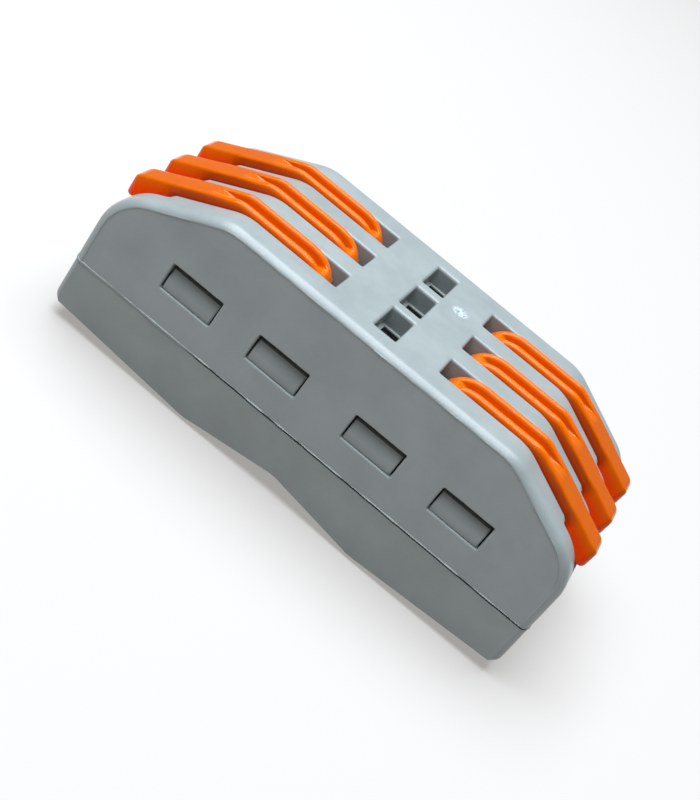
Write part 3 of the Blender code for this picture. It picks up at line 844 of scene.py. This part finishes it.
def add_snap_arms(cover):
    """Arms that reach up behind the windows, each with a crowned lug that shows in one."""
    arm = box("snap_arm", (-ARM_HALF, ARM_Y[0], SEAM_Z - OVER), (ARM_HALF, ARM_Y[1], ARM_TOP))
    boolean(cover, repeat(arm, at_windows()), "UNION")
    inner = ARM_Y[1] - 0.2
    section = rounded([
        (inner, LUG_LOW_Z),
        (LUG_FOOT_Y, LUG_LOW_Z, 0.06),
        (*LUG_CREST, LUG_CREST_R),
        (*LUG_TOP, 0.08),
        (inner, LUG_TOP[1]),
    ], step=6.0)
    ends = ((-ARM_HALF, 0.9), (-ARM_HALF + 0.05, 0.97), (-ARM_HALF + 0.12, 1.0))
    stations = list(ends) + [(-x, share) for x, share in reversed(ends)]
    rings = []
    for x, share in stations:
        rings.append([(x, inner + (point.x - inner) * share, point.y) for point in section])
    boolean(cover, repeat(loft("snap_lug", rings), at_windows()), "UNION")


def build_cover():
    cover = cover_blank()
    recess = box(
        "recess",
        (RECESS_X[0], -POCKET_HALF, RECESS_FLOOR),
        (RECESS_X[1], POCKET_HALF, SEAM_Z + OVER),
    )
    boolean(cover, repeat(recess, at_poles()))
    rib = box(
        "bar_rib",
        (-RIB_HALF_X, -RIB_HALF_Y, SEAM_Z - OVER),
        (RIB_HALF_X, RIB_HALF_Y, BAR_LOW.z - RIB_UNDER_BAR),
    )
    boolean(cover, repeat(rib, at_poles(False)), "UNION")
    add_snap_arms(cover)
    stations = seam_stations(COVER_TOP, -Z_WAY)
    boolean(cover, rim_tool("cover_edge", stations, 0.05, steps=3, waver=1.2, seed=9.0))
    return cover


# --- levers ---------------------------------------------------------------------------

def smooth_step(value):
    value = min(1.0, max(0.0, value))
    return value * value * (3.0 - 2.0 * value)


def cam_radius(lever_angle):
    """Reach of the cam that just clears the spring's flat top at one opening of the lever."""
    press = math.radians(lever_angle * SPRING_RATIO)
    across, up = PIVOT_X - SPRING_X, PIVOT_Z - SPRING_Z
    return across * math.sin(press) + up * math.cos(press) - CURL_R - STRIP / 2 - CAM_GAP


def hub_radius(degrees):
    """Radius of the hub: a nose that bulges inwards and runs into the cam below it."""
    if degrees < CAM_START:
        share = smooth_step((degrees - 90.0) / (CAM_START - 90.0))
        return ARM_TOP_Z + share * (cam_radius(OPEN_ANGLE) - ARM_TOP_Z)
    return cam_radius(max(0.0, 270.0 - degrees) / (1.0 + SPRING_RATIO))


def lever_stations():
    """Points along the lever's top from under its nose to its tip, and their normals."""
    nose = []
    for index in range(round((NOSE_END - 90.0) / NOSE_STEP)):
        degrees = NOSE_END - NOSE_STEP * index
        nose.append(polar(hub_radius(degrees), degrees))
    tip = (LEVER_TIP_X, lever_top_z(LEVER_TIP_X))
    arm = rounded([
        (0.0, ARM_TOP_Z),
        (ARM_BEND_X, ARM_TOP_Z, ARM_BEND_R),
        tip,
    ], closed=False)
    end = Vector(tip)
    back = (arm[-2] - end).normalized()
    arm[-1] = end + back * TIP_ROUND
    arm = subdivided(arm, 0.22, closed=False)
    steps = 8
    for index in range(1, steps + 1):
        arm.append(end + back * TIP_ROUND * (1.0 - math.sin(math.pi / 2 * index / steps)))
    points = nose + arm
    return points, [-normal for normal in outline_normals(points, closed=False)]


def groove_shape(point):
    """(depth, share of the full width) of the finger groove at a point of the lever's top."""
    full = ARM_TOP_Z - GROOVE_Z
    if point.x > 0.0:
        return full * smooth_step((point.y - GROOVE_Z + 0.12) / (full + 0.12)), 1.0
    angle = math.degrees(math.atan2(point.y, point.x))
    left = math.radians(GROOVE_END - angle) * ARM_TOP_Z
    if left <= 0.02:
        return 0.0, 0.05
    round_end = math.sqrt(max(0.0, 1.0 - (1.0 - min(1.0, left / GROOVE_HALF)) ** 2))
    return full * smooth_step(left / GROOVE_FADE), max(0.05, round_end)


def section_arc(centre, radius, start, end, steps=5):
    arc = []
    for index in range(steps + 1):
        spoke = polar(radius, start + (end - start) * index / steps)
        arc.append((centre[0] + spoke.x, centre[1] + spoke.y))
    return arc


def lever_section(depth, width_share, thickness, outer_r):
    """Half section (y, height over the top) from the middle of the groove round to below."""
    groove = GROOVE_HALF * width_share
    rib_in = min(RIB_INNER_R, groove)
    full = ARM_TOP_Z - GROOVE_Z
    floor_r = min(GROOVE_FLOOR_R, groove)
    scale = depth / full
    half = [(0.0, -full)]
    half += section_arc((groove - floor_r, floor_r - full), floor_r, -90.0, 0.0)
    half += section_arc((groove + rib_in, -rib_in), rib_in, 180.0, 90.0)
    half = [(y, height * scale) for y, height in half]
    half += section_arc((ARM_HALF_WIDTH - outer_r, -outer_r), outer_r, 90.0, 0.0)
    under_centre = (ARM_HALF_WIDTH - UNDER_EDGE_R, UNDER_EDGE_R - thickness)
    half += section_arc(under_centre, UNDER_EDGE_R, 0.0, -90.0, 3)
    return half


def lever_arm():
    """The arm from under its nose to its blunt tip, as sections across its top line."""
    points, normals = lever_stations()
    end = Vector((LEVER_TIP_X, lever_top_z(LEVER_TIP_X)))
    rings = []
    for point, normal in zip(points, normals):
        depth, width_share = groove_shape(point)
        swell = 1.0 - smooth_step(abs(point.x - ARM_SWELL_X) / ARM_SWELL_X)
        thickness = ARM_THICKNESS + ARM_SWELL * swell
        lean = TIP_LEAN * smooth_step((point.x - TIP_START_X - TIP_LEAN_FROM) / TIP_LEAN_FADE)
        to_end = (end - point).length
        close = math.sqrt(max(0.0, 1.0 - (1.0 - min(1.0, to_end / TIP_ROUND)) ** 2))
        shrink = TIP_BLUNT + (1.0 - TIP_BLUNT) * close if point.x > TIP_START_X else 1.0
        sharpen = smooth_step((point.x - ARM_BEND_X) / TIP_CREST_FADE)
        outer_r = RIB_OUTER_R + (TIP_CREST_R - RIB_OUTER_R) * sharpen
        half = lever_section(depth, width_share, thickness, outer_r)
        ring = []
        for side in (1, -1):
            run = half if side > 0 else reversed(half[1:])
            for y, height in run:
                down = min(1.0, max(0.0, -height / thickness))
                tip_half = TIP_TOP_HALF + (TIP_FOOT_HALF - TIP_TOP_HALF) * down ** 1.2
                middle = -thickness * 0.5
                lift = middle + (height - middle) * shrink
                place = point + normal * lift
                widen = smooth_step((place.x - TIP_FLARE_X) / TIP_FLARE)
                factor = 1.0 + widen * (tip_half / ARM_HALF_WIDTH - 1.0)
                ring.append((place.x + lean * down, side * y * factor * shrink, place.y))
        rings.append(ring)
    return loft("lever_arm", rings)


def hub_outline():
    """The hub's side outline: a cam below, closed by a core that lies inside the arm."""
    hub_end = 360.0 + math.degrees(math.asin(ARM_UNDER_Z / cam_radius(0.0)))
    start = CAM_START - 6.0
    outline = []
    steps = 48
    for index in range(steps + 1):
        degrees = start + (hub_end - start) * index / steps
        outline.append(polar(hub_radius(degrees), degrees))
    outline += [polar(HUB_CORE_R, degrees) for degrees in (20.0, 50.0, 80.0, 110.0, 140.0)]
    return outline


def slab(name, outline, half_width, chamfer):
    """An XZ outline extruded across Y, with its two rims chamfered."""
    normals = outline_normals(outline)
    rings = []
    for y, inset in ((-1, chamfer), (-1, 0.0), (1, 0.0), (1, chamfer)):
        place = y * (half_width - (0.0 if inset else chamfer))
        rings.append([
            (point.x - normal.x * inset, place, point.y - normal.y * inset)
            for point, normal in zip(outline, normals)
        ])
    return loft(name, rings)


def build_lever():
    lever = lever_arm()
    boolean(lever, slab("hub", hub_outline(), ARM_HALF_WIDTH - 0.005, 0.1), "UNION")
    trunnion = cross_cylinder("trunnion", TRUNNION_R, TRUNNION_HALF, 0.0, 0.0, chamfer=0.15)
    return boolean(lever, trunnion, "UNION")


# --- springs and bars -----------------------------------------------------------------

def spring_path():
    """Middle line of the spring strip about its peg, and the normals to its outer side."""
    curl = [polar(CURL_R, 250.0 - 8.0 * index) for index in range(20)]
    front = FRONT_X - SPRING_X
    crest = CREST[1] - SPRING_Z
    bends = [
        (KNEE_X - SPRING_X, CURL_R, 1.5),
        (CREST[0] - SPRING_X, crest, 0.5),
        (front, crest - 0.45, 0.5),
        (front, FOOT_Z - SPRING_Z),
    ]
    return subdivided(rounded(curl + bends, closed=False, step=7.5), 0.6, closed=False)


def build_spring():
    """The strip along its path, with the cage that the wire goes through in its front."""
    path = spring_path()
    normals = outline_normals(path, closed=False)
    low, high = (-STRIP / 2, -STRIP_HALF_WIDTH), (STRIP / 2, STRIP_HALF_WIDTH)
    section = rectangle(low, high, STRIP_EDGE_R, step=30.0)
    rings = []
    for point, normal in zip(path, normals):
        rings.append([
            (point.x + normal.x * corner.x, corner.y, point.y + normal.y * corner.x)
            for corner in section
        ])
    spring = loft("clamp_spring", rings)
    front = FRONT_X - SPRING_X
    low, high = (-CAGE_HALF, CAGE_Z[0] - SPRING_Z), (CAGE_HALF, CAGE_Z[1] - SPRING_Z)
    cage = rectangle(low, high, CAGE_CORNER_R)
    rings = [[(x, point.x, point.y) for point in cage] for x in (front - 0.5, front + 0.5)]
    return boolean(spring, loft("cage", rings))


def build_bar():
    """One current bar with a narrow rounded tongue at each end and softened edges."""
    quarter = [
        (TONGUE_X, BAR_HIGH.y, 0.3),
        (TONGUE_X, TONGUE_HALF, 0.25),
        (BAR_HIGH.x, TONGUE_HALF, 0.5),
    ]
    right = [(x, -y, r) for x, y, r in quarter] + [(x, y, r) for x, y, r in reversed(quarter)]
    left = [(-x, -y, r) for x, y, r in right]
    outline = rounded(right + left, step=10.0)
    normals = outline_normals(outline)
    levels = (
        (BAR_LOW.z, BAR_EDGE),
        (BAR_LOW.z + BAR_EDGE, 0.0),
        (BAR_HIGH.z - BAR_EDGE, 0.0),
        (BAR_HIGH.z, BAR_EDGE),
    )
    rings = []
    for z, inset in levels:
        rings.append([
            (point.x - normal.x * inset, point.y - normal.y * inset, z)
            for point, normal in zip(outline, normals)
        ])
    return loft("current_bar", rings)


# --- materials ------------------------------------------------------------------------

class Recipe:
    """A material's node tree, with the few node kinds that the materials use."""

    def __init__(self, name):
        self.material = bpy.data.materials.new(name)
        self.material.use_nodes = True
        self.nodes = self.material.node_tree.nodes
        self.links = self.material.node_tree.links
        self.shader = self.nodes["Principled BSDF"]
        self.place = self.nodes.new("ShaderNodeTexCoord").outputs["Object"]

    def noise(self, scale, detail=3.0, roughness=0.5, place=None):
        node = self.nodes.new("ShaderNodeTexNoise")
        node.inputs["Scale"].default_value = scale
        node.inputs["Detail"].default_value = detail
        node.inputs["Roughness"].default_value = roughness
        self.links.new(place or self.place, node.inputs["Vector"])
        return node.outputs["Fac"]

    def stretched(self, scales):
        node = self.nodes.new("ShaderNodeMapping")
        node.inputs["Scale"].default_value = scales
        self.links.new(self.place, node.inputs["Vector"])
        return node.outputs["Vector"]

    def ramp(self, factor, stops):
        node = self.nodes.new("ShaderNodeValToRGB")
        elements = node.color_ramp.elements
        while len(elements) < len(stops):
            elements.new(0.5)
        for element, (position, colour) in zip(elements, stops):
            element.position = position
            element.color = (*colour, 1.0) if len(colour) == 3 else colour
        self.links.new(factor, node.inputs["Fac"])
        return node.outputs["Color"]

    def spread(self, factor, low, high, start=0.3, end=0.7):
        """Map a factor from the stretch between start and end to low and high, clamped."""
        node = self.nodes.new("ShaderNodeMapRange")
        limits = {"From Min": start, "From Max": end, "To Min": low, "To Max": high}
        for name, value in limits.items():
            node.inputs[name].default_value = value
        self.links.new(factor, node.inputs["Value"])
        return node.outputs["Result"]

    def combine(self, one, two, operation="ADD"):
        node = self.nodes.new("ShaderNodeMath")
        node.operation = operation
        self.links.new(one, node.inputs[0])
        self.links.new(two, node.inputs[1])
        return node.outputs["Value"]

    def nearness(self, centre, inner, outer):
        """1 within the inner distance of a place on the piece, and 0 beyond the outer one."""
        node = self.nodes.new("ShaderNodeVectorMath")
        node.operation = "DISTANCE"
        node.inputs[1].default_value = centre
        self.links.new(self.place, node.inputs[0])
        return self.spread(node.outputs["Value"], 1.0, 0.0, inner, outer)

    def along(self, direction):
        """How far a place on the piece lies along a direction from its origin."""
        node = self.nodes.new("ShaderNodeVectorMath")
        node.operation = "DOT_PRODUCT"
        node.inputs[1].default_value = direction
        self.links.new(self.place, node.inputs[0])
        return node.outputs["Value"]

    def blend(self, share, colour, constant):
        """The colour, replaced by a constant one as far as the share says."""
        node = self.nodes.new("ShaderNodeMixRGB")
        self.links.new(share, node.inputs["Fac"])
        self.links.new(colour, node.inputs["Color1"])
        node.inputs["Color2"].default_value = (*constant, 1.0)
        return node.outputs["Color"]

    def bump(self, height, strength, distance):
        node = self.nodes.new("ShaderNodeBump")
        node.inputs["Strength"].default_value = strength
        node.inputs["Distance"].default_value = distance
        self.links.new(height, node.inputs["Height"])
        self.links.new(node.outputs["Normal"], self.shader.inputs["Normal"])

    def set(self, **values):
        for name, value in values.items():
            self.shader.inputs[name.replace("_", " ")].default_value = value

    def feed(self, name, output):
        self.links.new(output, self.shader.inputs[name])


def grey_plastic(name, greys, seed):
    """Satin moulded polyamide: cloudy colour, fine grain and rubbed specks, white at the gate."""
    recipe = Recipe(name)
    recipe.set(Specular_IOR_Level=0.45)
    shifted = recipe.nodes.new("ShaderNodeMapping")
    shifted.inputs["Location"].default_value = (seed, seed * 0.7, 0.0)
    recipe.links.new(recipe.place, shifted.inputs["Vector"])
    place = shifted.outputs["Vector"]
    clouds = recipe.noise(230.0, 5.0, 0.6, place)
    colour = recipe.ramp(clouds, [(0.32, greys[0]), (0.68, greys[1])])
    gate = Vector((GATE_X, GATE_Y, TOP_Z)) * TO_METRES
    at_gate = recipe.nearness(gate, 0.6 * GATE_R * TO_METRES, 0.95 * GATE_R * TO_METRES)
    recipe.feed("Base Color", recipe.blend(at_gate, colour, GATE_WHITE))
    grain = recipe.noise(5200.0, 2.0, 0.6, place)
    rubs = recipe.noise(900.0, 4.0, 0.7, place)
    recipe.feed("Roughness", recipe.spread(rubs, 0.28, 0.42))
    waves = recipe.noise(420.0, 2.0, 0.5, place)
    height = recipe.combine(recipe.spread(grain, 0.0, 0.35), recipe.spread(waves, 0.0, 1.0))
    recipe.bump(height, 0.35, 0.00003)
    return recipe.material


def orange_plastic():
    """Glossy translucent plastic: deeper in the thick tip, and darker and redder low on its sides
    and end, partly painted shade and partly the plastic's depth.

    Lengths are in metres about the lever's pivot, and the squared width is in square metres.
    """
    recipe = Recipe("lever_plastic")
    recipe.set(Specular_IOR_Level=0.16, Subsurface_Weight=0.4, Subsurface_Scale=0.0009)
    recipe.set(Subsurface_Radius=(1.0, 0.3, 0.05))
    clouds = recipe.noise(260.0, 3.0, 0.5)
    colour = recipe.ramp(clouds, [(0.3, ARM_ORANGES[0]), (0.7, ARM_ORANGES[1])])
    length, width, height = (recipe.along(way) for way in (X_WAY, Y_WAY, Z_WAY))
    thick = recipe.spread(length, 0.0, 1.0, 0.0045, 0.0075)
    colour = recipe.blend(thick, colour, TIP_ORANGE)
    # Painted shade, partly the plastic's depth: below the top surface, on the sides and at the
    # end, the colour turns to a darker, redder orange.
    over_slope = recipe.along((SHOULDER_SLOPE, 0.0, 1.0))
    under_arm = recipe.spread(height, 1.0, 0.0, 0.0017, 0.0024)
    under_slope = recipe.spread(over_slope, 1.0, 0.0, 0.0041, 0.00485)
    under = recipe.combine(under_arm, under_slope, "MULTIPLY")
    squared = recipe.combine(width, width, "MULTIPLY")
    off_middle = recipe.spread(squared, 0.0, 1.0, 9.0e-7, 1.5e-6)
    at_end = recipe.spread(length, 0.0, 0.4, 0.0085, 0.0105)
    outside = recipe.combine(off_middle, at_end, "MAXIMUM")
    shade_and_depth = recipe.combine(under, outside, "MULTIPLY")
    recipe.feed("Base Color", recipe.blend(shade_and_depth, colour, SHADE_AND_DEPTH_ORANGE))
    waves = recipe.noise(500.0, 2.0, 0.5)
    recipe.feed("Roughness", recipe.spread(waves, 0.1, 0.17))
    recipe.bump(waves, 0.25, 0.00003)
    return recipe.material


def spring_metal():
    """Bright rolled strip, with fine lines along its length."""
    recipe = Recipe("spring_strip")
    recipe.set(Metallic=1.0)
    lines = recipe.noise(900.0, 3.0, 0.6, recipe.stretched((0.15, 6.0, 0.15)))
    recipe.feed("Base Color", recipe.ramp(lines, [(0.3, STEELS[0]), (0.7, STEELS[1])]))
    recipe.feed("Roughness", recipe.spread(lines, 0.2, 0.36))
    recipe.bump(lines, 0.2, 0.00001)
    return recipe.material


def tin_plate():
    """Tin over copper: dull and slightly blotchy."""
    recipe = Recipe("tin_plate")
    recipe.set(Metallic=1.0)
    blotches = recipe.noise(700.0, 4.0, 0.65)
    recipe.feed("Base Color", recipe.ramp(blotches, [(0.3, TINS[0]), (0.7, TINS[1])]))
    recipe.feed("Roughness", recipe.spread(blotches, 0.3, 0.45))
    recipe.bump(blotches, 0.15, 0.00001)
    return recipe.material


# --- placing --------------------------------------------------------------------------

def finish(piece, material):
    """Scale a finished piece to metres, and shade it so that flats stay flat."""
    piece.data.transform(Matrix.Scale(TO_METRES, 4))
    piece.data.materials.clear()
    piece.data.materials.append(material)
    piece.data.shade_smooth()
    piece.data.set_sharp_from_angle(angle=math.radians(35))
    weighted = piece.modifiers.new("flat_faces", "WEIGHTED_NORMAL")
    weighted.keep_sharp = True
    bake(piece)


def stand_for(piece, node, body):
    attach(piece, body)
    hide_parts(node)


def place_copies(pattern, prefix, x, z):
    """One piece for each end and pole, on its own body, turned about its pivot."""
    for end_name, end_sign in END_SIGNS.items():
        for pole_name, pole_y in POLE_YS.items():
            node = f"{prefix}_{end_name}_{pole_name}"
            copy = bpy.data.objects.new(f"fine_{node}", pattern.data)
            bpy.context.scene.collection.objects.link(copy)
            copy.location = Vector((end_sign * x, pole_y, z)) * TO_METRES
            copy.rotation_euler = (0.0, 0.0, 0.0 if end_sign > 0 else math.pi)
            stand_for(copy, node, node)
    bpy.data.objects.remove(pattern, do_unlink=True)


def add_floor():
    shape = bmesh.new()
    bmesh.ops.create_grid(shape, x_segments=1, y_segments=1, size=1.5)
    mesh = bpy.data.meshes.new("floor")
    shape.to_mesh(mesh)
    shape.free()
    floor = bpy.data.objects.new("floor", mesh)
    bpy.context.scene.collection.objects.link(floor)
    floor.location.z = -0.0002
    material = bpy.data.materials.new("floor")
    material.use_nodes = True
    shader = material.node_tree.nodes["Principled BSDF"]
    shader.inputs["Base Color"].default_value = FLOOR_COLOUR
    shader.inputs["Emission Color"].default_value = FLOOR_GLOW
    shader.inputs["Emission Strength"].default_value = FLOOR_GLOW_STRENGTH
    shader.inputs["Roughness"].default_value = 0.9
    shader.inputs["Specular IOR Level"].default_value = 0.0
    mesh.materials.append(material)


def add_light(name, place, target, size, power, colour):
    light = bpy.data.lights.new(name, "AREA")
    light.shape = "RECTANGLE"
    light.size, light.size_y = size
    light.energy = power
    light.color = colour
    lamp = bpy.data.objects.new(name, light)
    bpy.context.scene.collection.objects.link(lamp)
    lamp.location = place
    lamp.rotation_euler = (Vector(target) - Vector(place)).to_track_quat("-Z", "Y").to_euler()


def add_studio():
    world = bpy.data.worlds.new("studio")
    world.use_nodes = True
    background = world.node_tree.nodes["Background"]
    background.inputs["Color"].default_value = SKY_COLOUR
    background.inputs["Strength"].default_value = SKY_STRENGTH
    bpy.context.scene.world = world
    add_light("key", KEY_PLACE, KEY_TARGET, KEY_SIZE, KEY_POWER, KEY_COLOUR)


def add_camera():
    """The camera looks at the long side from a little to the right, and is rolled."""
    camera_data = bpy.data.cameras.new("camera")
    camera_data.lens = LENS
    camera_data.sensor_width = 36.0
    camera_data.clip_start = 0.001
    camera = bpy.data.objects.new("camera", camera_data)
    bpy.context.scene.collection.objects.link(camera)
    flat = math.cos(CAMERA_ELEVATION)
    away = Vector((
        -math.sin(CAMERA_AZIMUTH) * flat,
        -math.cos(CAMERA_AZIMUTH) * flat,
        math.sin(CAMERA_ELEVATION),
    ))
    camera.location = CAMERA_TARGET + away * CAMERA_DISTANCE
    upright = (-away).to_track_quat("-Z", "Y").to_matrix()
    camera.rotation_euler = (upright @ Matrix.Rotation(CAMERA_ROLL, 3, "Z")).to_euler()
    bpy.context.scene.camera = camera


def main():
    housing_grey = grey_plastic("housing_plastic", HOUSING_GREYS, 0.0)
    cover_grey = grey_plastic("cover_plastic", COVER_GREYS, 3.0)
    housing = build_housing()
    finish(housing, housing_grey)
    housing.name = "fine_housing"
    stand_for(housing, "housing", "housing")
    cover = build_cover()
    finish(cover, cover_grey)
    cover.name = "fine_base_cover"
    stand_for(cover, "base_cover", "housing")
    lever = build_lever()
    finish(lever, orange_plastic())
    place_copies(lever, "lever", PIVOT_X, PIVOT_Z)
    spring = build_spring()
    finish(spring, spring_metal())
    place_copies(spring, "clamp_spring", SPRING_X, SPRING_Z)
    bar = build_bar()
    finish(bar, tin_plate())
    for pole_name, pole_y in POLE_YS.items():
        copy = bpy.data.objects.new(f"fine_current_bar_{pole_name}", bar.data)
        bpy.context.scene.collection.objects.link(copy)
        copy.location.y = pole_y * TO_METRES
        stand_for(copy, f"current_bar_{pole_name}", "housing")
    bpy.data.objects.remove(bar, do_unlink=True)
    add_floor()
    add_studio()
    add_camera()
    bpy.context.scene.view_settings.view_transform = "Standard"


main()
